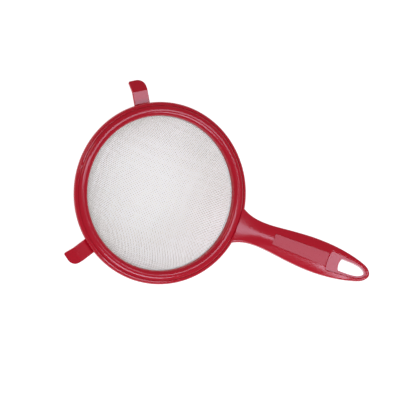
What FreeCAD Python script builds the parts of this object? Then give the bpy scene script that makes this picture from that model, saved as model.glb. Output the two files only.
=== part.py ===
import FreeCAD
import Part

import math
import os

# A hand sieve for flour: a moulded frame (rim channel, handle and two pan hooks in one
# piece), a clamp ring that traps the edge of a pressed wire-cloth bowl, a folded metal
# band on the cloth's edge, a back cover that closes the hollow handle and a plate let
# into the handle's top.
#
# Row frame, millimetres: +Z is up, out of the bowl's mouth, +X runs to the handle.
# The origin is on the rim's axis, in the plane on which the hooks rest on a pan.

# ---- Rim -----------------------------------------------------------------------------
MOUTH_RADIUS = 76.2  # clear opening inside the rim
RIM_WIDTH = 13.8  # mouth to outer edge
BEAD_RADIUS = 5.0  # upper half of the rim's section
BELLY_RADIUS = 7.0  # lower half
FRAME_BAND = 3.3  # visible band of the frame outside the clamp ring
FLOOR_THICKNESS = 3.2  # floor of the frame's channel
FLOOR_SETBACK = 1.8  # the floor's inner edge stands back from the mouth
FLOOR_ROUND = 0.8  # rounding of that inner edge
RING_FIT = 0.1  # radial gap between clamp ring and frame
RING_WALL = 2.0  # wall of the clamp ring
BEAD_SHOULDER = 4.2  # from the crown's outer edge to the ring's outer face
WELD_LAND = 2.0  # foot of the clamp ring that is welded to the frame
SECTOR_ANGLE = 120.0  # the frame's ring is built as three sectors

# ---- Wire cloth bowl and its edge band -------------------------------------------------
WIRE_DIAMETER = 0.25
BOWL_DEPTH = 52.0  # flange to the bottom of the bowl
CLOTH_OUTSET = 0.8  # the cloth turns down this far outside the mouth
FLANGE_GAP = 0.6  # flange edge to the clamp ring's foot
BAND_THICKNESS = 0.4
BAND_LEG = 2.2  # height of the band's turned-down leg
BAND_GAP = 0.05  # leg to cloth

# ---- Pan hooks -------------------------------------------------------------------------
HOOK_ANGLE = 122.8  # from the handle, either side
HOOK_WIDTH = 16.0
HOOK_THICKNESS = 3.0
HOOK_LIFT = 0.6  # strap's underside above the rim's underside
HOOK_REACH = 12.3  # flat strap beyond the rim's outer edge
HOOK_TIP = 10.8  # length of the turned-down tip
HOOK_DROP_ANGLE = 33.0  # tip below the strap
HOOK_BEND_RADIUS = 1.2  # inside of the bend
HOOK_CORNER = 8.0  # big corner, on the handle's side
HOOK_SMALL_CORNER = 1.6  # other corner
HOOK_EDGE_ROUND = 0.6
HOOK_ROOT = 0.8  # how far the strap's top starts inside the frame's outer wall

# ---- Handle ----------------------------------------------------------------------------
HANDLE_RISE = 16.0  # degrees above the rim's plane
HANDLE_ROOT_RUN = 6.0  # how far the outline starts inside the rim's parting line
SHEET_ROOT_RUN = 14.0  # how far the top and belly start inside it
SHEET_NOSE_RUN = 6.0  # how far they run past the nose
HANDLE_LENGTH = 139.2  # rim to nose, along the slope
ROOT_WIDTH = 36.8
WAIST_WIDTH = 24.4
WAIST_AT = 24.0
GRIP_WIDTH = 33.2
GRIP_AT = 80.0
NOSE_ROUND = 11.4  # how far before the nose the outline turns in
GRIP_DEPTH = 15.2  # top to belly at the widest place
ROOT_DEPTH = 8.4
NOSE_DEPTH = 9.0
TOP_RISE = 0.9  # the crown's rise above the root line
NOSE_FALL = 1.4  # the crown's fall below the root line at the nose
CROWN_SPAN = 22.0  # half width at which the crown drops below are measured
ROOT_CROWN = 1.6
GRIP_CROWN = 8.6
HOLE_CROWN = 7.8
NOSE_CROWN = 5.0
BELLY_ROUND = 7.0  # the belly's rise at the same half width
HANDLE_EDGE_ROUND = 1.8

# ---- Plate in the handle's top ----------------------------------------------------------
PLATE_START = 38.0
PLATE_GAP = 2.0  # plate to dish
PLATE_WIDTH = 11.4  # at the rim end
PLATE_END_WIDTH = 14.0
PLATE_THICKNESS = 1.1
PLATE_SINK = 0.55  # plate top below the crown
PLATE_CORNER = 1.2
PLATE_EDGE_ROUND = 0.3
PLATE_FIT = 0.08
PLATE_PEG_RADIUS = 1.3
PLATE_PEG_LENGTH = 1.6
PLATE_PEG_INSET = 0.15  # share of the plate's length from each end to a peg

# ---- Hang hole and the dish round it -----------------------------------------------------
HOLE_WALL = 5.6  # wall between the hole and the nose
HOLE_LENGTH = 25.0
HOLE_WIDTH = 12.6
HOLE_BOW = 1.6  # bulge of the hole's straight end
HOLE_CORNER = 1.5
DISH_FLAT = 11.6  # floor of the dish before the hole
DISH_BORDER = 2.0  # dish edge outside the hole
DISH_DEPTH = 2.4
DISH_FLARE = 1.8  # extra half width where the dish starts
DISH_EDGE_ROUND = 0.7

# ---- Hollow of the handle and its back cover ---------------------------------------------
HOLLOW_START = 20.0
HOLLOW_WALL = 5.0  # solid end between the hollow and the dish
COVER_INSET = 3.0  # handle outline to cover outline
LEDGE = 1.3  # cover outline to hollow outline
COVER_THICKNESS = 2.0
COVER_FIT = 0.12
TOP_WALL = 1.4  # wall left under the plate's pocket
SHELL_WALL = 2.2  # wall between the hollow and the handle's top
BOSS_RADIUS = 3.4
PEG_RADIUS = 1.9
PEG_FIT = 0.05
PEG_MARGIN = 10.0  # first and last peg to the ends of the hollow
PEG_SHORTFALL = 2.0  # top of a peg below the hollow's roof
PEG_HOLE_SHORTFALL = 0.6  # top of its hole below the hollow's roof
RIB_THICKNESS = 1.6

# ---- Worked out from the sizes above -----------------------------------------------------
RIM_OUTER = MOUTH_RADIUS + RIM_WIDTH
PARTING_RADIUS = RIM_OUTER - FRAME_BAND
WAIST_LINE = BELLY_RADIUS  # height at which the rim is widest
RIM_HEIGHT = WAIST_LINE + BEAD_RADIUS
SHOULDER_TOP = WAIST_LINE + FRAME_BAND
CLOTH_THICKNESS = 2 * WIRE_DIAMETER
FLANGE_TOP = FLOOR_THICKNESS + CLOTH_THICKNESS
BAND_TOP = FLANGE_TOP + BAND_THICKNESS
RING_OUTER = PARTING_RADIUS - RING_FIT
FOOT_INNER = RING_OUTER - WELD_LAND
CROWN_INNER = MOUTH_RADIUS + BEAD_RADIUS
CROWN_OUTER = RING_OUTER - BEAD_SHOULDER
FLANGE_RADIUS = FOOT_INNER - FLANGE_GAP
BOWL_RADIUS = MOUTH_RADIUS + CLOTH_OUTSET
SPHERE_RADIUS = (BOWL_RADIUS**2 + BOWL_DEPTH**2) / (2 * BOWL_DEPTH)
SPHERE_CENTRE = FLANGE_TOP - CLOTH_THICKNESS / 2 - BOWL_DEPTH + SPHERE_RADIUS
HOLE_START = HANDLE_LENGTH - HOLE_WALL - HOLE_LENGTH
DISH_START = HOLE_START - DISH_FLAT
PLATE_LENGTH = DISH_START - PLATE_GAP - PLATE_START
HOLLOW_END = DISH_START - HOLLOW_WALL
PEG_SPACING = (HOLLOW_END - HOLLOW_START - 2 * PEG_MARGIN) / 2
PEG_STATIONS = [HOLLOW_START + PEG_MARGIN + PEG_SPACING * i for i in range(3)]
RIB_STATIONS = [station + PEG_SPACING / 2 for station in PEG_STATIONS[:2]]
DEEP = 3 * GRIP_DEPTH  # below or above everything in the handle, for cutting solids
FAR = 400.0  # longer than any feature, for the same use
TOLERANCE = 1e-6
SHEET_STEPS = 24  # spans of a sheet along the handle
FLANK_STEPS = 40  # points along half the outline when it is moved inwards
ROOT_OVERLAP = 0.5  # how far posts and ribs run into the wall that they stand on
FLANK_SPARE = 9.0  # how far a moved flank runs past its stations

ORIGIN = FreeCAD.Vector(0, 0, 0)
UP = FreeCAD.Vector(0, 0, 1)
ALONG = FreeCAD.Vector(1, 0, 0)
ACROSS = FreeCAD.Vector(0, 1, 0)


def at(radius, height):
    """A point of a section in the XZ plane."""
    return FreeCAD.Vector(radius, 0, height)


def line(a, b):
    return Part.LineSegment(a, b).toShape()


def arc_about(centre, start, end):
    """The shorter circular arc in the XZ plane from start to end about centre."""
    middle = (start + end) * 0.5 - centre
    middle.normalize()
    return Part.Arc(start, centre + middle * (start - centre).Length, end).toShape()


def turned(edges):
    """The solid of revolution of a closed XZ section about the Z axis."""
    wire = Part.Wire(edges)
    solid = Part.Face(wire).revolve(ORIGIN, UP, 360)
    return Part.Solid(solid) if solid.ShapeType == "Shell" else solid


def prism(wire, low, high):
    """A flat closed wire in the XY plane, made solid from height low to height high."""
    face = Part.Face(wire)
    face.translate(UP * low)
    return face.extrude(UP * (high - low))


def circle_radius_at(radius, centre_height, height):
    """Distance from the Z axis to a sphere's surface at a height."""
    return math.sqrt(radius**2 - (height - centre_height) ** 2)


# ---- Rim parts ---------------------------------------------------------------------------


def frame_sector():
    """A third of the frame's channel: floor, rounded belly, outer wall and shoulder."""
    floor_inner = MOUTH_RADIUS + FLOOR_SETBACK
    belly_start = at(RIM_OUTER - BELLY_RADIUS, 0)
    widest = at(RIM_OUTER, WAIST_LINE)
    shoulder = at(PARTING_RADIUS, SHOULDER_TOP)
    lip_top = at(floor_inner + FLOOR_ROUND, FLOOR_THICKNESS)
    lip_side = at(floor_inner, FLOOR_THICKNESS - FLOOR_ROUND)
    lip_foot = at(floor_inner, FLOOR_ROUND)
    lip_bottom = at(floor_inner + FLOOR_ROUND, 0)
    channel_corner = at(PARTING_RADIUS, FLOOR_THICKNESS)
    lip_middle = floor_inner + FLOOR_ROUND
    section = Part.Wire(
        [
            line(lip_bottom, belly_start),
            arc_about(at(belly_start.x, WAIST_LINE), belly_start, widest),
            arc_about(at(PARTING_RADIUS, WAIST_LINE), widest, shoulder),
            line(shoulder, channel_corner),
            line(channel_corner, lip_top),
            arc_about(at(lip_middle, FLOOR_THICKNESS - FLOOR_ROUND), lip_top, lip_side),
            line(lip_side, lip_foot),
            arc_about(at(lip_middle, FLOOR_ROUND), lip_foot, lip_bottom),
        ]
    )
    return Part.Face(section).revolve(ORIGIN, UP, SECTOR_ANGLE)


def clamp_ring():
    """The bead: an inverted channel whose inner lip presses on the band and whose outer
    foot stands on the frame's floor."""
    inner_centre = at(CROWN_INNER, WAIST_LINE)
    outer_centre = at(CROWN_OUTER, WAIST_LINE)
    hollow_radius = BEAD_RADIUS - RING_WALL

    def on_arc(centre, radius, distance):
        rise = math.sqrt(radius**2 - (distance - centre.x) ** 2)
        return at(distance, centre.z + rise)

    lip = at(MOUTH_RADIUS, BAND_TOP)
    lip_high = at(MOUTH_RADIUS, WAIST_LINE)
    crest_in = at(CROWN_INNER, RIM_HEIGHT)
    crest_out = at(CROWN_OUTER, RIM_HEIGHT)
    foot_top = on_arc(outer_centre, BEAD_RADIUS, RING_OUTER)
    foot_out = at(RING_OUTER, FLOOR_THICKNESS)
    foot_in = at(FOOT_INNER, FLOOR_THICKNESS)
    hollow_out = on_arc(outer_centre, hollow_radius, FOOT_INNER)
    hollow_top_out = at(CROWN_OUTER, RIM_HEIGHT - RING_WALL)
    hollow_top_in = at(CROWN_INNER, RIM_HEIGHT - RING_WALL)
    hollow_in = at(MOUTH_RADIUS + RING_WALL, WAIST_LINE)
    lip_back = at(MOUTH_RADIUS + RING_WALL, BAND_TOP)
    return turned(
        [
            line(lip, lip_high),
            arc_about(inner_centre, lip_high, crest_in),
            line(crest_in, crest_out),
            arc_about(outer_centre, crest_out, foot_top),
            line(foot_top, foot_out),
            line(foot_out, foot_in),
            line(foot_in, hollow_out),
            arc_about(outer_centre, hollow_out, hollow_top_out),
            line(hollow_top_out, hollow_top_in),
            arc_about(inner_centre, hollow_top_in, hollow_in),
            line(hollow_in, lip_back),
            line(lip_back, lip),
        ]
    )


def mesh_bowl():
    """The wire cloth as a shell two wires thick: a spherical bowl with a flat flange."""
    centre = at(0, SPHERE_CENTRE)
    outside = SPHERE_RADIUS + CLOTH_THICKNESS / 2
    inside = SPHERE_RADIUS - CLOTH_THICKNESS / 2
    turn_out = at(
        circle_radius_at(outside, SPHERE_CENTRE, FLOOR_THICKNESS), FLOOR_THICKNESS
    )
    turn_in = at(circle_radius_at(inside, SPHERE_CENTRE, FLANGE_TOP), FLANGE_TOP)
    bottom_out = at(0, SPHERE_CENTRE - outside)
    bottom_in = at(0, SPHERE_CENTRE - inside)
    edge_low = at(FLANGE_RADIUS, FLOOR_THICKNESS)
    edge_high = at(FLANGE_RADIUS, FLANGE_TOP)
    return turned(
        [
            arc_about(centre, bottom_out, turn_out),
            line(turn_out, edge_low),
            line(edge_low, edge_high),
            line(edge_high, turn_in),
            arc_about(centre, turn_in, bottom_in),
            line(bottom_in, bottom_out),
        ]
    )


def edge_band():
    """The folded band: a flat leg on the flange and a short leg turned into the bowl."""
    inside = SPHERE_RADIUS - CLOTH_THICKNESS / 2
    leg_foot_height = BAND_TOP - BAND_LEG
    corner = circle_radius_at(inside, SPHERE_CENTRE, FLANGE_TOP) - BAND_GAP
    foot = circle_radius_at(inside, SPHERE_CENTRE, leg_foot_height) - BAND_GAP
    points = [
        at(corner, FLANGE_TOP),
        at(FLANGE_RADIUS, FLANGE_TOP),
        at(FLANGE_RADIUS, BAND_TOP),
        at(corner - BAND_THICKNESS, BAND_TOP),
        at(foot - BAND_THICKNESS, leg_foot_height),
        at(foot, leg_foot_height),
    ]
    return turned([line(a, b) for a, b in zip(points, points[1:] + points[:1])])


# ---- Hooks -------------------------------------------------------------------------------


def hook():
    """One strap along +X with its turned-down tip, its big corner on the -Y side."""
    bend = RIM_OUTER + HOOK_REACH
    drop = math.radians(HOOK_DROP_ANGLE)
    down = at(math.cos(drop), -math.sin(drop))
    inward = at(-math.sin(drop), -math.cos(drop))
    root_top = at(PARTING_RADIUS + HOOK_ROOT, HOOK_THICKNESS)
    root_low = at(RIM_OUTER - BELLY_RADIUS, 0)
    bend_centre = at(bend, -HOOK_BEND_RADIUS)
    outer_start = at(bend, HOOK_THICKNESS)
    inner_start = at(bend, 0)
    outer_end = bend_centre - inward * (HOOK_THICKNESS + HOOK_BEND_RADIUS)
    inner_end = bend_centre - inward * HOOK_BEND_RADIUS
    tip_top = outer_end + down * HOOK_TIP
    tip_low = inner_end + down * HOOK_TIP
    side = Part.Wire(
        [
            line(root_low, inner_start),
            arc_about(bend_centre, inner_start, inner_end),
            line(inner_end, tip_low),
            line(tip_low, tip_top),
            line(tip_top, outer_end),
            arc_about(bend_centre, outer_end, outer_start),
            line(outer_start, root_top),
            line(root_top, root_low),
        ]
    )
    strap = Part.Face(side).extrude(ACROSS * HOOK_WIDTH)
    strap.translate(ACROSS * (-HOOK_WIDTH / 2))
    for facing, radius in ((-1, HOOK_CORNER), (1, HOOK_SMALL_CORNER)):
        middle = (tip_low + tip_top) * 0.5 + ACROSS * (facing * HOOK_WIDTH / 2)
        corner = min(strap.Edges, key=lambda e: (e.CenterOfMass - middle).Length)
        strap = strap.makeFillet(radius, [corner])
    return strap.makeFillet(HOOK_EDGE_ROUND, strap_sides(strap))


def strap_sides(strap):
    """The long straight edges of the strap, from which a fillet runs on round the tip."""
    found = []
    for edge in strap.Edges:
        on_side = abs(abs(edge.CenterOfMass.y) - HOOK_WIDTH / 2) < TOLERANCE
        if on_side and edge.BoundBox.ZLength < TOLERANCE:
            found.append(edge)
    return found


# ---- Handle, in its own frame: X along the slope, Z square to it, top line at Z = 0 ---------


def outline_curve():
    """The plan outline from inside the rim, round the nose and back."""
    root, waist, grip = ROOT_WIDTH / 2, WAIST_WIDTH / 2, GRIP_WIDTH / 2
    flare = root - waist
    nose = HANDLE_LENGTH
    half = [
        (-HANDLE_ROOT_RUN, root + 0.36 * flare + 0.6 * HANDLE_ROOT_RUN),
        (0.0, root),
        (0.4 * WAIST_AT, waist + 0.3 * flare),
        (WAIST_AT, waist),
        (0.6 * WAIST_AT + 0.4 * GRIP_AT, waist + 0.4 * (grip - waist)),
        (GRIP_AT, grip),
        (0.52 * GRIP_AT + 0.48 * nose, 0.876 * grip),
        (nose - NOSE_ROUND, 0.6 * grip),
        (nose - 0.2 * NOSE_ROUND, 0.3 * grip),
        (nose, 0.0),
    ]
    points = [FreeCAD.Vector(x, y, 0) for x, y in half]
    points += [FreeCAD.Vector(p.x, -p.y, 0) for p in reversed(points[:-1])]
    curve = Part.BSplineCurve()
    curve.interpolate(points)
    return curve


def handle_outline():
    curve = outline_curve()
    return Part.Wire([curve.toShape(), line(curve.EndPoint, curve.StartPoint)])


def smooth_value(stations, column, x):
    """A value between stations, on a cubic that doesn't overshoot them."""
    places = [row[0] for row in stations]
    values = [row[column] for row in stations]
    runs = [b - a for a, b in zip(places, places[1:])]
    slopes = [(b - a) / run for a, b, run in zip(values, values[1:], runs)]
    tangents = [slopes[0]]
    for before, after in zip(slopes, slopes[1:]):
        product = before * after
        tangents.append(2 * product / (before + after) if product > 0 else 0.0)
    tangents.append(slopes[-1])
    index = max(i for i, place in enumerate(places[:-1]) if i == 0 or place <= x)
    t = (x - places[index]) / runs[index]
    rise = values[index + 1] - values[index]
    start, end = tangents[index] * runs[index], tangents[index + 1] * runs[index]
    bend = start + end - 2 * rise
    return values[index] + t * (start + t * (3 * rise - 2 * start - end + t * bend))


def height_sheet(stations):
    """A smooth face over the handle's plan, arched or dished across its width.

    Each station is its X, its height on the centre line and its fall at the span."""
    shares = (-1.4, -0.7, 0.0, 0.7, 1.4)
    first, last = stations[0][0], stations[-1][0]
    grid = []
    for step in range(SHEET_STEPS + 1):
        x = first + (last - first) * step / SHEET_STEPS
        height = smooth_value(stations, 1, x)
        fall = smooth_value(stations, 2, x)
        row = [
            FreeCAD.Vector(x, CROWN_SPAN * share, height - fall * share**2)
            for share in shares
        ]
        grid.append(row)
    surface = Part.BSplineSurface()
    surface.interpolate(grid)
    return surface.toShape()


def top_sheet():
    """The handle's top before the plate's pocket and the dish are cut."""
    return height_sheet(
        [
            (-SHEET_ROOT_RUN, 0.0, ROOT_CROWN),
            (0.0, 0.0, ROOT_CROWN),
            (PLATE_START, TOP_RISE, GRIP_CROWN),
            (GRIP_AT, TOP_RISE, GRIP_CROWN),
            (HOLE_START, 0.2 * TOP_RISE, HOLE_CROWN),
            (HANDLE_LENGTH + SHEET_NOSE_RUN, -NOSE_FALL, NOSE_CROWN),
        ]
    )


def belly_sheet():
    """The handle's underside."""
    return height_sheet(
        [
            (-SHEET_ROOT_RUN, -ROOT_DEPTH, 0.0),
            (0.0, -ROOT_DEPTH, 0.0),
            (PLATE_START, TOP_RISE - 0.96 * GRIP_DEPTH, -BELLY_ROUND),
            (GRIP_AT, TOP_RISE - GRIP_DEPTH, -BELLY_ROUND),
            (HOLE_START, TOP_RISE - 0.86 * GRIP_DEPTH, -0.9 * BELLY_ROUND),
            (HANDLE_LENGTH + SHEET_NOSE_RUN, -NOSE_FALL - NOSE_DEPTH, -0.6 * BELLY_ROUND),
        ]
    )


def under(sheet, lift=0.0):
    """Everything below a sheet that has been moved up by lift."""
    moved = sheet.copy()
    moved.translate(UP * lift)
    return moved.extrude(UP * -FAR)


def over(sheet, lift=0.0):
    """Everything above a sheet that has been moved up by lift."""
    moved = sheet.copy()
    moved.translate(UP * lift)
    return moved.extrude(UP * FAR)


def inset_prism(inset, start, end):
    """The handle's flanks moved in by inset, cut square at two stations, at full depth."""
    curve = outline_curve()
    half = (curve.FirstParameter + curve.LastParameter) / 2
    flank = []
    for step in range(FLANK_STEPS):
        parameter = half * step / FLANK_STEPS
        inward = curve.tangent(parameter)[0].cross(UP)
        point = curve.value(parameter) + inward * inset
        if start - FLANK_SPARE < point.x < end + FLANK_SPARE:
            flank.append(point)
    upper, lower = Part.BSplineCurve(), Part.BSplineCurve()
    upper.interpolate(flank)
    lower.interpolate([FreeCAD.Vector(p.x, -p.y, 0) for p in reversed(flank)])
    sides = [upper.toShape(), lower.toShape()]
    ends = [line(upper.EndPoint, lower.StartPoint), line(lower.EndPoint, upper.StartPoint)]
    solid = prism(Part.Wire([sides[0], ends[0], sides[1], ends[1]]), -DEEP, DEEP)
    corner = FreeCAD.Vector(start, -FAR / 2, -DEEP)
    return solid.common(Part.makeBox(end - start, FAR, 2 * DEEP, corner))


def plate_outline(grow):
    """The plate's tapered outline with round corners, grown by a fit."""
    start, end = PLATE_START - grow, PLATE_START + PLATE_LENGTH + grow
    near, far = PLATE_WIDTH / 2 + grow, PLATE_END_WIDTH / 2 + grow
    corners = [(start, -near), (end, -far), (end, far), (start, near)]
    points = [FreeCAD.Vector(x, y, 0) for x, y in corners]
    box = prism(Part.makePolygon(points + points[:1]), 0, 1)
    uprights = [e for e in box.Edges if abs(e.BoundBox.ZLength - 1) < TOLERANCE]
    box = box.makeFillet(PLATE_CORNER + grow, uprights)
    base = min(box.Faces, key=lambda f: f.CenterOfMass.z)
    return base.OuterWire


def plate_top():
    """Height of the plate's flat top in the handle's frame."""
    return TOP_RISE - PLATE_SINK


def plate_pegs(radius, low, high):
    """Two round pegs, or their holes, under the plate."""
    pegs = []
    for share in (PLATE_PEG_INSET, 1 - PLATE_PEG_INSET):
        x = PLATE_START + share * PLATE_LENGTH
        base = FreeCAD.Vector(x, 0, low)
        pegs.append(Part.makeCylinder(radius, high - low, base, UP))
    return pegs


def grip_plate_local():
    """The flat plate with a softened top edge and two pegs."""
    top = plate_top()
    body = prism(plate_outline(0), top - PLATE_THICKNESS, top)
    rim = [e for e in body.Edges if e.BoundBox.ZMin > top - TOLERANCE]
    body = body.makeFillet(PLATE_EDGE_ROUND, rim)
    low = top - PLATE_THICKNESS - PLATE_PEG_LENGTH
    pegs = plate_pegs(PLATE_PEG_RADIUS, low, top - ROOT_OVERLAP)
    return body.fuse(pegs).removeSplitter()


def hole_outline(border, start, flare=0.0):
    """The hang hole's outline moved out by border, its straight end at start and flared."""
    half = HOLE_WIDTH / 2 + border
    nose = HOLE_START + HOLE_LENGTH + border
    turn = nose - 0.75 * HOLE_WIDTH - border
    points = [
        FreeCAD.Vector(start, half + flare, 0),
        FreeCAD.Vector((start + turn) / 2, 0.97 * half + 0.45 * flare, 0),
        FreeCAD.Vector(turn, 0.88 * half, 0),
        FreeCAD.Vector(nose - 0.18 * HOLE_WIDTH, 0.48 * half, 0),
        FreeCAD.Vector(nose, 0, 0),
    ]
    points += [FreeCAD.Vector(p.x, -p.y, 0) for p in reversed(points[:-1])]
    curve = Part.BSplineCurve()
    curve.interpolate(points)
    bow = FreeCAD.Vector(start - HOLE_BOW, 0, 0)
    return Part.Wire([curve.toShape(), Part.Arc(points[-1], bow, points[0]).toShape()])


def rounded_prism(wire, low, high, radius):
    """A prism whose upright corners are rounded."""
    solid = prism(wire, low, high)
    height = high - low
    uprights = [e for e in solid.Edges if abs(e.BoundBox.ZLength - height) < TOLERANCE]
    corners = [e for e in uprights if abs(e.CenterOfMass.y) > radius]
    return solid.makeFillet(radius, corners)


def cover_pegs(radius, low, high):
    return [
        Part.makeCylinder(radius, high - low, FreeCAD.Vector(x, 0, low), UP)
        for x in PEG_STATIONS
    ]


def handle_local():
    """The handle body: crowned outline, hang hole and dish, pocket, hollow, bosses."""
    top, belly = top_sheet(), belly_sheet()
    solid = prism(handle_outline(), -DEEP, DEEP).common(under(top)).common(over(belly))
    solid = solid.Solids[0]
    solid = solid.makeFillet(HANDLE_EDGE_ROUND, long_edges(solid))
    dish_outline = hole_outline(DISH_BORDER, DISH_START, DISH_FLARE)
    dish = rounded_prism(dish_outline, -DISH_DEPTH, DEEP, DISH_BORDER)
    hole = rounded_prism(hole_outline(0, HOLE_START), -DEEP, DEEP, HOLE_CORNER)
    floor = plate_top() - PLATE_THICKNESS
    pocket = prism(plate_outline(PLATE_FIT), floor, DEEP)
    roof = floor - TOP_WALL
    hollow = inset_prism(COVER_INSET + LEDGE, HOLLOW_START, HOLLOW_END)
    hollow = trim_above(hollow, roof).common(under(top, -SHELL_WALL))
    inside_back = over(belly, COVER_THICKNESS + COVER_FIT)
    inside_top = under(top, -SHELL_WALL + ROOT_OVERLAP)
    posts = cover_pegs(BOSS_RADIUS, -DEEP, roof + ROOT_OVERLAP)
    webs = [rib(x, roof + ROOT_OVERLAP) for x in RIB_STATIONS]
    inner = [s.common(inside_back).common(inside_top) for s in posts + webs]
    solid = solid.cut(dish)
    solid = solid.makeFillet(DISH_EDGE_ROUND, dish_edges(solid))
    solid = solid.cut([hole, pocket])
    solid = solid.cut([hollow, cover_blank(COVER_FIT)])
    solid = solid.fuse(inner)
    peg_holes = cover_pegs(PEG_RADIUS + PEG_FIT, -DEEP, roof - PEG_HOLE_SHORTFALL)
    plate_peg_hole = PLATE_PEG_RADIUS + PLATE_FIT
    plate_holes = plate_pegs(plate_peg_hole, roof - ROOT_OVERLAP, floor + ROOT_OVERLAP)
    return solid.cut(peg_holes + plate_holes)


def rib(station, high):
    """A web across the hollow."""
    corner = FreeCAD.Vector(station - RIB_THICKNESS / 2, -GRIP_WIDTH / 2, -DEEP)
    web = Part.makeBox(RIB_THICKNESS, GRIP_WIDTH, high + DEEP, corner)
    return web.common(inset_prism(COVER_INSET, HOLLOW_START, HOLLOW_END))


def trim_above(solid, height):
    """The part of a solid that is below a height."""
    block = Part.makeBox(FAR, FAR, FAR, FreeCAD.Vector(-FAR / 2, -FAR / 2, height))
    return solid.cut(block)


def long_edges(solid):
    """The edges where the handle's side wall meets its top and its belly."""
    return [e for e in solid.Edges if e.BoundBox.XLength > 0.5 * HANDLE_LENGTH]


def dish_edges(solid):
    """The edges where the dish's upright wall meets the handle's top."""
    found = []
    for edge in solid.Edges:
        middle = edge.CenterOfMass
        in_dish = middle.x > DISH_START - HOLE_BOW and abs(middle.y) < HOLE_WIDTH
        above = edge.BoundBox.ZMin > TOLERANCE - DISH_DEPTH
        upright = edge.BoundBox.XLength + edge.BoundBox.YLength < TOLERANCE
        if in_dish and above and not upright:
            found.append(edge)
    return found


def cover_blank(grow):
    """The space that the back cover fills, grown by a fit on its sides and its back."""
    sides = inset_prism(COVER_INSET - grow, HOLLOW_START - LEDGE, HOLLOW_END + LEDGE)
    sides = sides.common(under(belly_sheet(), COVER_THICKNESS + grow))
    return sides if grow else sides.common(over(belly_sheet()))


def back_cover_local():
    """The cover: a slice of the belly with three pegs."""
    roof = plate_top() - PLATE_THICKNESS - TOP_WALL
    pegs = cover_pegs(PEG_RADIUS, -DEEP, roof - PEG_SHORTFALL)
    skin = over(belly_sheet(), COVER_THICKNESS - ROOT_OVERLAP)
    return cover_blank(0).fuse([p.common(skin) for p in pegs])


def place_handle(solid):
    """Moves a solid from the handle's frame to the rim."""
    turn = FreeCAD.Rotation(ACROSS, -HANDLE_RISE)
    moved = solid.copy()
    moved.Placement = FreeCAD.Placement(
        at(PARTING_RADIUS, SHOULDER_TOP), turn
    ).multiply(solid.Placement)
    return moved


# ---- The frame as one moulding -----------------------------------------------------------


def rim_frame():
    """The channel's three sectors, each with its own limb, joined into one moulding.

    The sector with the hook at -Y is the mirror image of the one at +Y."""
    sector = frame_sector()
    handle_sector, hook_sector = sector.copy(), sector.copy()
    handle_sector.rotate(ORIGIN, UP, -SECTOR_ANGLE / 2)
    hook_sector.rotate(ORIGIN, UP, SECTOR_ANGLE / 2)
    bore = Part.makeCylinder(PARTING_RADIUS, FAR, at(0, -FAR / 2), UP)
    handle = place_handle(handle_local()).cut(bore)
    strap = hook()
    strap.translate(UP * HOOK_LIFT)
    strap.rotate(ORIGIN, UP, HOOK_ANGLE)
    hooked = hook_sector.fuse(strap)
    return handle_sector.fuse(handle).fuse([hooked, hooked.mirror(ORIGIN, ACROSS)])


def write(name, shape):
    """Writes one node and prints what it holds."""
    box = shape.optimalBoundingBox(False)
    print(
        f"{name}: {len(shape.Solids)} solid(s), valid {shape.isValid()}, "
        f"{shape.Volume / 1000:.2f} cm3, "
        f"X {box.XMin:.1f}..{box.XMax:.1f} Y {box.YMin:.1f}..{box.YMax:.1f} "
        f"Z {box.ZMin:.1f}..{box.ZMax:.1f}"
    )
    shape.exportStep(f"parts/{name}.step")


def main():
    os.makedirs("parts", exist_ok=True)
    write("rim_frame", rim_frame())
    write("clamp_ring", clamp_ring())
    write("mesh_bowl", mesh_bowl())
    write("edge_band", edge_band())
    write("grip_plate", place_handle(grip_plate_local()))
    write("back_cover", place_handle(back_cover_local()))


main()
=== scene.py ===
"""A hand sieve for flour: a glossy red rim, handle and hooks round a bowl of woven steel wire.

The moulded pieces and the steel band keep their modelled shapes and get their finishes here. The
wire cloth is woven from separate wires. Lengths are in metres, in the row frame."""

import math

import bmesh
import bpy
from mathutils import Matrix, Vector


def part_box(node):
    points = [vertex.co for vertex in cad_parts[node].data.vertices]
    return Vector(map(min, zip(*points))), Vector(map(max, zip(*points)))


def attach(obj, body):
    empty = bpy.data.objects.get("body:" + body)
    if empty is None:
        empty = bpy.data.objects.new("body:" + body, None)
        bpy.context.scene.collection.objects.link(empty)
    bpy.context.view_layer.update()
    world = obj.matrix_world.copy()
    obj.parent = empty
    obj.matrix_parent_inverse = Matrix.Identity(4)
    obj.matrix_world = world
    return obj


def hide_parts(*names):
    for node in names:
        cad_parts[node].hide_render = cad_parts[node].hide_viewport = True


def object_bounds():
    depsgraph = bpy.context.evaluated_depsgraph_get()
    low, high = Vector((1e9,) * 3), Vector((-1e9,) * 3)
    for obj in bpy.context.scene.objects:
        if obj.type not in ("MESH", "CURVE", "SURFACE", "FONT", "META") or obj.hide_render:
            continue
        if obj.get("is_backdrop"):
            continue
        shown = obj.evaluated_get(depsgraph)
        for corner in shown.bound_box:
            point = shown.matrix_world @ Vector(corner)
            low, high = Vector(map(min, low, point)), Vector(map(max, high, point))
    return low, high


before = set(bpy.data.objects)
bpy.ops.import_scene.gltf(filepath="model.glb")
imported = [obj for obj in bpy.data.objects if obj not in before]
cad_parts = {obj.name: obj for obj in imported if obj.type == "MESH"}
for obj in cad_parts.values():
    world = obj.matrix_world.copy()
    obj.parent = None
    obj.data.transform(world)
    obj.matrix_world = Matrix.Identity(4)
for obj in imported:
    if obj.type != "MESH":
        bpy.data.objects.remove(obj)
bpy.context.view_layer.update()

bl_info = {
    "name": "Hand sieve",
    "version": (1, 0, 0),
    "blender": (4, 5, 0),
    "location": "3D View > Sidebar > Sieve",
    "description": "Builds a kitchen sieve with a woven wire bowl and a moulded rim and handle",
    "category": "Object",
}

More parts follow.
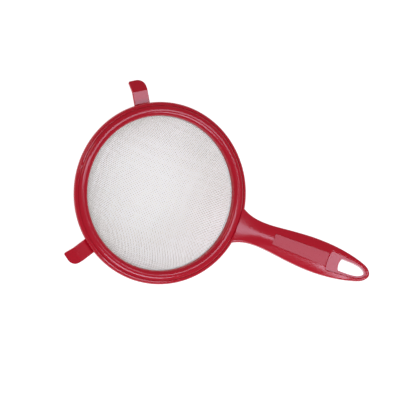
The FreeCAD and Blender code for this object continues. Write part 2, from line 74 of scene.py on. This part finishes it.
MM = 0.001
X_AXIS, Y_AXIS, Z_AXIS = Vector((1, 0, 0)), Vector((0, 1, 0)), Vector((0, 0, 1))
BODY = "root"
POLISHED_NODES = ("rim_frame", "clamp_ring", "back_cover")
SATIN_NODES = ("grip_plate",)
BAND_NODES = ("edge_band",)
BOWL_LOW, BOWL_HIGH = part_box("mesh_bowl")
RIM_WAIST = 7.0 * MM  # the rim's widest line above its underside


def linear(hex_colour):
    """Turns an sRGB hex colour into linear red, green, blue and alpha."""
    parts = [int(hex_colour[i : i + 2], 16) / 255 for i in (1, 3, 5)]
    return tuple(
        c / 12.92 if c <= 0.04045 else ((c + 0.055) / 1.055) ** 2.4 for c in parts
    ) + (1.0,)


# ---- Settings ---------------------------------------------------------------------------


class SieveClothSettings(bpy.types.PropertyGroup):
    """Sizes of the wire cloth, which is woven coarser than the real one (0.25 mm wire, 1 mm
    apart), so that the weave shows."""

    mouth_radius: bpy.props.FloatProperty(
        name="Bowl radius",
        description="Radius of the pressed bowl where it turns out into its flange",
        default=77.0 * MM,
        unit="LENGTH",
    )
    wire: bpy.props.FloatProperty(
        name="Wire",
        description="Diameter of each wire",
        default=0.4 * MM,
        unit="LENGTH",
    )
    pitch: bpy.props.FloatProperty(
        name="Pitch",
        description="Distance from one wire to the next, centre to centre",
        default=1.7 * MM,
        unit="LENGTH",
    )


class SieveFinishSettings(bpy.types.PropertyGroup):
    """Colours of the moulded plastic and the steel."""

    plastic: bpy.props.FloatVectorProperty(
        name="Plastic",
        description="Colour of the moulded pieces",
        subtype="COLOR",
        size=4,
        min=0.0,
        max=1.0,
        default=linear("#CE0C28"),
    )
    wire: bpy.props.FloatVectorProperty(
        name="Wire",
        description="Colour of the drawn steel wire",
        subtype="COLOR",
        size=4,
        min=0.0,
        max=1.0,
        default=linear("#CDC9C1"),
    )
    strip: bpy.props.FloatVectorProperty(
        name="Strip",
        description="Colour of the rolled steel band",
        subtype="COLOR",
        size=4,
        min=0.0,
        max=1.0,
        default=linear("#E6E6E8"),
    )


class SieveStageSettings(bpy.types.PropertyGroup):
    """Camera, lights and floor."""

    rim_tilt: bpy.props.FloatProperty(
        name="Rim tilt",
        description="Angle between the rim's axis and the line of sight",
        subtype="ANGLE",
        default=math.radians(20.0),
    )
    handle_turn: bpy.props.FloatProperty(
        name="Handle turn",
        description="Angle from the tilt's direction to the handle, about the rim's axis",
        subtype="ANGLE",
        default=math.radians(-19.1),
    )
    roll: bpy.props.FloatProperty(
        name="Roll",
        description="Turn of the picture about the line of sight",
        subtype="ANGLE",
        default=math.radians(2.55),
    )
    picture_width: bpy.props.FloatProperty(
        name="Picture width",
        description="Width of what the picture shows at the rim's distance",
        default=394.1 * MM,
        unit="LENGTH",
    )
    aim_right: bpy.props.FloatProperty(
        name="Aim right",
        description="How far right of the rim's centre the camera aims",
        default=39.4 * MM,
        unit="LENGTH",
    )
    aim_down: bpy.props.FloatProperty(
        name="Aim down",
        description="How far below the rim's centre the camera aims",
        default=6.8 * MM,
        unit="LENGTH",
    )
    lens: bpy.props.FloatProperty(
        name="Lens",
        description="Focal length in millimetres of the long lens",
        default=1000.0,
    )
    floor_reach: bpy.props.FloatProperty(
        name="Floor reach",
        description="Distance from the sieve to each side of the square floor",
        default=20.0,
        unit="LENGTH",
    )
    surround: bpy.props.FloatProperty(
        name="Surround",
        description="Strength of the even pale light from all round",
        default=0.24,
        min=0.0,
    )


# ---- Node and mesh helpers ------------------------------------------------------------------


def add_node(tree, kind, inputs=None, **settings):
    """Adds a node, sets its options, and fills or links its inputs."""
    node = tree.nodes.new(kind)
    for name, value in settings.items():
        setattr(node, name, value)
    for name, value in (inputs or {}).items():
        if isinstance(value, bpy.types.NodeSocket):
            tree.links.new(value, node.inputs[name])
        else:
            node.inputs[name].default_value = value
    return node


def new_material(name):
    """An empty node material, its node tree, and its Object coordinates."""
    material = bpy.data.materials.new(name)
    material.use_nodes = True
    tree = material.node_tree
    tree.nodes.clear()
    place = add_node(tree, "ShaderNodeTexCoord").outputs["Object"]
    return material, tree, place


def finish_material(material, surface):
    """Joins the surface to the material's output and names what it shows in solid view."""
    tree = material.node_tree
    add_node(tree, "ShaderNodeOutputMaterial", {"Surface": surface.outputs["BSDF"]})
    material.diffuse_color = surface.inputs["Base Color"].default_value
    return material


def coat_nodes(names, material):
    """Gives modelled nodes a material in every slot that they have."""
    for name in names:
        for material_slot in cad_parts[name].material_slots:
            material_slot.material = material


def mesh_object(name, mesh, material):
    """Links a finished mesh as a piece of the object that rides on its body."""
    mesh.materials.clear()
    mesh.materials.append(material)
    piece = bpy.data.objects.new(name, mesh)
    bpy.context.scene.collection.objects.link(piece)
    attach(piece, BODY)
    return piece


# ---- Finishes -------------------------------------------------------------------------------


def red_moulded_abs(name, colour, smoothest, roughest):
    """Injection-moulded ABS: a clear soft-edged gloss, over a skin that waves very slightly, with
    fine handling marks that dull it here and there. A mould with a fine grain makes it satin."""
    material, tree, place = new_material(name)
    # the skin's waves are 6 mm long, and the handling marks a millimetre and less
    waves = add_node(
        tree,
        "ShaderNodeTexNoise",
        {"Vector": place, "Scale": 1 / (6.25 * MM), "Detail": 1.0},
    )
    marks = add_node(
        tree,
        "ShaderNodeTexNoise",
        {"Vector": place, "Scale": 1 / (1.0 * MM), "Detail": 3.0},
    )
    dulled = add_node(
        tree,
        "ShaderNodeMapRange",
        {"Value": marks.outputs["Fac"], "To Min": smoothest, "To Max": roughest},
    )
    bump = add_node(
        tree,
        "ShaderNodeBump",
        {"Height": waves.outputs["Fac"], "Strength": 0.04, "Distance": 0.2 * MM},
    )
    surface = add_node(
        tree,
        "ShaderNodeBsdfPrincipled",
        {
            "Base Color": colour,
            "Roughness": dulled.outputs["Result"],
            "IOR": 1.54,
            "Normal": bump.outputs["Normal"],
        },
    )
    return finish_material(material, surface)


def drawn_stainless_wire(colour):
    """Bright drawn stainless wire: a pale metal whose die marks soften the glints."""
    material, tree, place = new_material("drawn_stainless_wire")
    # die marks and weaving scuffs change the gloss over a millimetre or two
    scuffs = add_node(
        tree,
        "ShaderNodeTexNoise",
        {"Vector": place, "Scale": 1 / (1.5 * MM), "Detail": 2.0},
    )
    dulled = add_node(
        tree,
        "ShaderNodeMapRange",
        {"Value": scuffs.outputs["Fac"], "To Min": 0.4, "To Max": 0.6},
    )
    surface = add_node(
        tree,
        "ShaderNodeBsdfPrincipled",
        {"Base Color": colour, "Metallic": 1.0, "Roughness": dulled.outputs["Result"]},
    )
    return finish_material(material, surface)


def rolled_stainless_strip(colour):
    """Thin stainless strip with a bright rolled finish, slightly uneven where it is folded."""
    material, tree, place = new_material("rolled_stainless_strip")
    # the folding leaves shallow dents 4 mm apart
    dents = add_node(
        tree,
        "ShaderNodeTexNoise",
        {"Vector": place, "Scale": 1 / (4.0 * MM), "Detail": 1.0},
    )
    bump = add_node(
        tree,
        "ShaderNodeBump",
        {"Height": dents.outputs["Fac"], "Strength": 0.3, "Distance": 0.2 * MM},
    )
    surface = add_node(
        tree,
        "ShaderNodeBsdfPrincipled",
        {
            "Base Color": colour,
            "Metallic": 1.0,
            "Roughness": 0.25,
            "Normal": bump.outputs["Normal"],
        },
    )
    return finish_material(material, surface)


def lit_white_acrylic():
    """Matt white acrylic of a light table, lit from below: even white with hardly a shadow."""
    material, tree, place = new_material("lit_white_acrylic")
    # the cast sheet has a faint mottle, 16 mm across
    mottle = add_node(
        tree,
        "ShaderNodeTexNoise",
        {"Vector": place, "Scale": 1 / (16.0 * MM), "Detail": 4.0},
    )
    bump = add_node(
        tree,
        "ShaderNodeBump",
        {"Height": mottle.outputs["Fac"], "Strength": 0.05, "Distance": 0.5 * MM},
    )
    surface = add_node(
        tree,
        "ShaderNodeBsdfPrincipled",
        {
            "Base Color": linear("#BDBDBD"),
            "Roughness": 0.9,
            "Emission Color": linear("#FFFFFF"),
            "Emission Strength": 0.85,
            "Normal": bump.outputs["Normal"],
        },
    )
    return finish_material(material, surface)


# ---- Wire cloth -----------------------------------------------------------------------------


def bowl_shape(cloth):
    """The bowl's sphere, as the height of its centre, its radius and its opening angle."""
    flange = BOWL_HIGH.z - cloth.wire
    bottom = BOWL_LOW.z + cloth.wire
    depth = flange - bottom
    radius = (cloth.mouth_radius**2 + depth**2) / (2 * depth)
    return bottom + radius, radius, math.asin(cloth.mouth_radius / radius)


def cloth_crossings(radius, step, opening):
    """Where the wires cross in a quarter of a square cloth pressed into a bowl.

    The cloth doesn't stretch, so every side of its mesh keeps its length, and the squares lean
    over. Each crossing is then the mirror image of the one diagonally before it, in the plane
    through the sphere's centre and the two crossings between them."""
    reach = int(opening / step) + 2
    crossings = {}
    for i in range(reach + 1):
        across, down = radius * math.sin(i * step), -radius * math.cos(i * step)
        crossings[i, 0] = Vector((across, 0, down))
        crossings[0, i] = Vector((0, across, down))
    rim_height = -radius * math.cos(opening + 2 * step)
    for i in range(1, reach + 1):
        for j in range(1, reach + 1):
            sides = crossings.get((i - 1, j)), crossings.get((i, j - 1))
            if None in sides:
                break
            crease = sides[0].cross(sides[1]).normalized()
            point = crossings[i - 1, j - 1].reflect(crease)
            if point.z > rim_height:
                break
            crossings[i, j] = point
    return crossings


def half_wire(crossings, row, along_x, wire, rim_height):
    """Half of a wire from its middle up to the rim, over and under the wires that it crosses."""
    points = []
    step = 0
    while (place := (step, abs(row)) if along_x else (abs(row), step)) in crossings:
        points.append(crossings[place])
        step += 1
    inside = [p for p in points if p.z < rim_height]
    # neighbouring wires start on opposite sides, and so do the two wires at any crossing
    starts_outside = along_x == (row % 2 == 0)
    woven = []
    for index, point in enumerate(inside):
        side = 1 if starts_outside == (index % 2 == 0) else -1
        woven.append(point + point.normalized() * (side * wire / 2))
    if inside and len(inside) < len(points):
        low, high = inside[-1], points[len(inside)]
        share = (rim_height - low.z) / (high.z - low.z)
        woven.append(low.lerp(high, share))
    return woven


def weave(name, along_x, cloth):
    """All the wires that run one way through the cloth, as one mesh of thin tubes."""
    centre, radius, opening = bowl_shape(cloth)
    crossings = cloth_crossings(radius, cloth.pitch / radius, opening)
    rim_height = -radius * math.cos(opening)
    along, across = (X_AXIS, Y_AXIS) if along_x else (Y_AXIS, X_AXIS)
    curve = wire_curve(name, cloth.wire)
    rows = max(i for i, _ in crossings) + 1
    for row in range(-rows, rows + 1):
        half = half_wire(crossings, row, along_x, cloth.wire, rim_height)
        if len(half) < 2:
            continue
        if row < 0:
            half = [p.reflect(across) for p in half]
        whole = [p.reflect(along) for p in reversed(half[1:])] + half
        spline = curve.splines.new("POLY")
        spline.points.add(len(whole) - 1)
        for target, point in zip(spline.points, whole):
            target.co = (point.x, point.y, point.z + centre, 1.0)
    if not curve.splines:
        raise ValueError("the wires are too far apart to cross in the bowl")
    return tubes_of(curve)


def wire_curve(name, wire):
    """An empty curve whose splines become four-sided tubes as thick as the wire."""
    curve = bpy.data.curves.new(name, "CURVE")
    curve.dimensions = "3D"
    curve.bevel_depth = wire / 2
    curve.bevel_resolution = 0
    curve.use_fill_caps = True
    return curve


def tubes_of(curve):
    """The mesh of a bevelled curve, shaded smooth, with the curve itself removed."""
    holder = bpy.data.objects.new(curve.name, curve)
    bpy.context.scene.collection.objects.link(holder)
    evaluated = holder.evaluated_get(bpy.context.evaluated_depsgraph_get())
    mesh = bpy.data.meshes.new_from_object(evaluated)
    bpy.data.objects.remove(holder)
    bpy.data.curves.remove(curve)
    mesh.shade_smooth()
    return mesh


# ---- Stage ----------------------------------------------------------------------------------


def lay_floor(height, reach):
    """A broad white floor at the sieve's lowest point."""
    mesh = bpy.data.meshes.new("floor")
    shape = bmesh.new()
    bmesh.ops.create_grid(shape, x_segments=1, y_segments=1, size=reach)
    bmesh.ops.translate(shape, verts=shape.verts, vec=(0, 0, height))
    shape.to_mesh(mesh)
    shape.free()
    mesh.materials.append(lit_white_acrylic())
    floor = bpy.data.objects.new("floor", mesh)
    bpy.context.scene.collection.objects.link(floor)
    floor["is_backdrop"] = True


def light_world(scene, strength):
    """An even pale surround, and colours shown without a film look."""
    world = bpy.data.worlds.new("studio")
    world.use_nodes = True
    surround = world.node_tree.nodes["Background"]
    surround.inputs["Color"].default_value = linear("#F4F5F7")
    surround.inputs["Strength"].default_value = strength
    scene.world = world
    scene.view_settings.view_transform = "Standard"


def soft_box(name, place, target, width, height, power, colour, turn=0.0):
    """A rectangular soft box at a place, facing a target and turned about its own axis."""
    light = bpy.data.lights.new(name, "AREA")
    light.shape = "RECTANGLE"
    light.size, light.size_y = width, height
    light.energy = power
    light.color = linear(colour)[:3]
    box = bpy.data.objects.new(name, light)
    towards = Vector(target) - Vector(place)
    facing = towards.to_track_quat("-Z", "Y").to_matrix().to_4x4()
    box.matrix_world = Matrix.Translation(place) @ facing @ Matrix.Rotation(turn, 4, "Z")
    bpy.context.scene.collection.objects.link(box)


def hang_lights(turn):
    """Two cool strip boxes overhead, in line with the picture: one shows in the flat tops, the
    other in the slopes that face the viewer. A broad weak one stands on the left."""
    cool, white = "#E8E8FF", "#FFFFFF"
    soft_box("top_strip", (0.06, 0.13, 0.87), (0.06, 0.13, 0.0), 0.6, 0.17, 1.45, cool, -turn)
    soft_box("low_strip", (0.34, -0.52, 0.87), (0.34, -0.52, 0.0), 0.6, 0.4, 5.0, cool, -turn)
    soft_box("left_box", (-1.6, 0.3, 1.1), (0.0, 0.0, 0.0), 0.9, 0.4, 3.0, white)


def aim_camera(scene, settings):
    """A long lens above the sieve, with the rim tilted and the handle to the right."""
    turn, tilt, roll = settings.handle_turn, settings.rim_tilt, settings.roll
    lean = Vector((math.cos(turn), -math.sin(turn), 0))
    side = Vector((math.sin(turn), math.cos(turn), 0))
    across = lean * math.cos(tilt) + Z_AXIS * math.sin(tilt)
    right = across * math.cos(roll) + side * math.sin(roll)
    up = side * math.cos(roll) - across * math.sin(roll)
    back = right.cross(up)
    lens = bpy.data.cameras.new("camera")
    lens.lens = settings.lens
    lens.clip_start, lens.clip_end = 0.1, 20.0
    distance = settings.picture_width * settings.lens / lens.sensor_width
    target = Z_AXIS * RIM_WAIST + right * settings.aim_right - up * settings.aim_down
    camera = bpy.data.objects.new("camera", lens)
    axes = Matrix((right, up, back)).transposed().to_4x4()
    camera.matrix_world = Matrix.Translation(target + back * distance) @ axes
    scene.collection.objects.link(camera)
    scene.camera = camera


# ---- Operators ------------------------------------------------------------------------------


class SIEVE_OT_mouldings(bpy.types.Operator):
    """Give the frame, clamp ring and back cover their glossy plastic, and the plate its satin"""

    bl_idname = "sieve.mouldings"
    bl_label = "Moulded pieces"

    def execute(self, context):
        colour = context.scene.sieve_finish.plastic
        coat_nodes(POLISHED_NODES, red_moulded_abs("polished_red_abs", colour, 0.1, 0.2))
        coat_nodes(SATIN_NODES, red_moulded_abs("satin_red_abs", colour, 0.24, 0.34))
        return {"FINISHED"}


class SIEVE_OT_band(bpy.types.Operator):
    """Give the folded band on the cloth's edge its rolled steel"""

    bl_idname = "sieve.band"
    bl_label = "Edge band"

    def execute(self, context):
        coat_nodes(BAND_NODES, rolled_stainless_strip(context.scene.sieve_finish.strip))
        return {"FINISHED"}


class SIEVE_OT_cloth(bpy.types.Operator):
    """Weave the wire bowl from its two sets of wires"""

    bl_idname = "sieve.cloth"
    bl_label = "Wire cloth"

    def execute(self, context):
        cloth = context.scene.sieve_cloth
        steel = drawn_stainless_wire(context.scene.sieve_finish.wire)
        for name, along_x in (("warp_wires", True), ("weft_wires", False)):
            piece = mesh_object(name, weave(name, along_x, cloth), steel)
            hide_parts("mesh_bowl")
        return {"FINISHED"}


class SIEVE_OT_stage(bpy.types.Operator):
    """Lay the floor, hang the lights and aim the camera"""

    bl_idname = "sieve.stage"
    bl_label = "Stage"

    def execute(self, context):
        settings = context.scene.sieve_stage
        lay_floor(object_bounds()[0].z, settings.floor_reach)
        light_world(context.scene, settings.surround)
        hang_lights(settings.handle_turn)
        aim_camera(context.scene, settings)
        return {"FINISHED"}


# ---- Panel and registration -------------------------------------------------------------------


class SIEVE_PT_panel(bpy.types.Panel):
    """Builds the sieve's pieces and its stage"""

    bl_label = "Sieve"
    bl_idname = "SIEVE_PT_panel"
    bl_space_type = "VIEW_3D"
    bl_region_type = "UI"
    bl_category = "Sieve"

    def draw(self, context):
        for group_name, kind in SETTINGS.items():
            for name in kind.__annotations__:
                self.layout.prop(getattr(context.scene, group_name), name)
        for operator in OPERATORS:
            self.layout.operator(operator.bl_idname)


SETTINGS = {
    "sieve_cloth": SieveClothSettings,
    "sieve_finish": SieveFinishSettings,
    "sieve_stage": SieveStageSettings,
}
OPERATORS = (SIEVE_OT_mouldings, SIEVE_OT_band, SIEVE_OT_cloth, SIEVE_OT_stage)
CLASSES = (*SETTINGS.values(), *OPERATORS, SIEVE_PT_panel)


def register():
    for kind in CLASSES:
        bpy.utils.register_class(kind)
    for name, kind in SETTINGS.items():
        setattr(bpy.types.Scene, name, bpy.props.PointerProperty(type=kind))


def unregister():
    for name in SETTINGS:
        delattr(bpy.types.Scene, name)
    for kind in reversed(CLASSES):
        bpy.utils.unregister_class(kind)


def main():
    register()
    bpy.ops.sieve.mouldings()
    bpy.ops.sieve.band()
    bpy.ops.sieve.cloth()
    bpy.ops.sieve.stage()


if __name__ == "__main__":
    main()
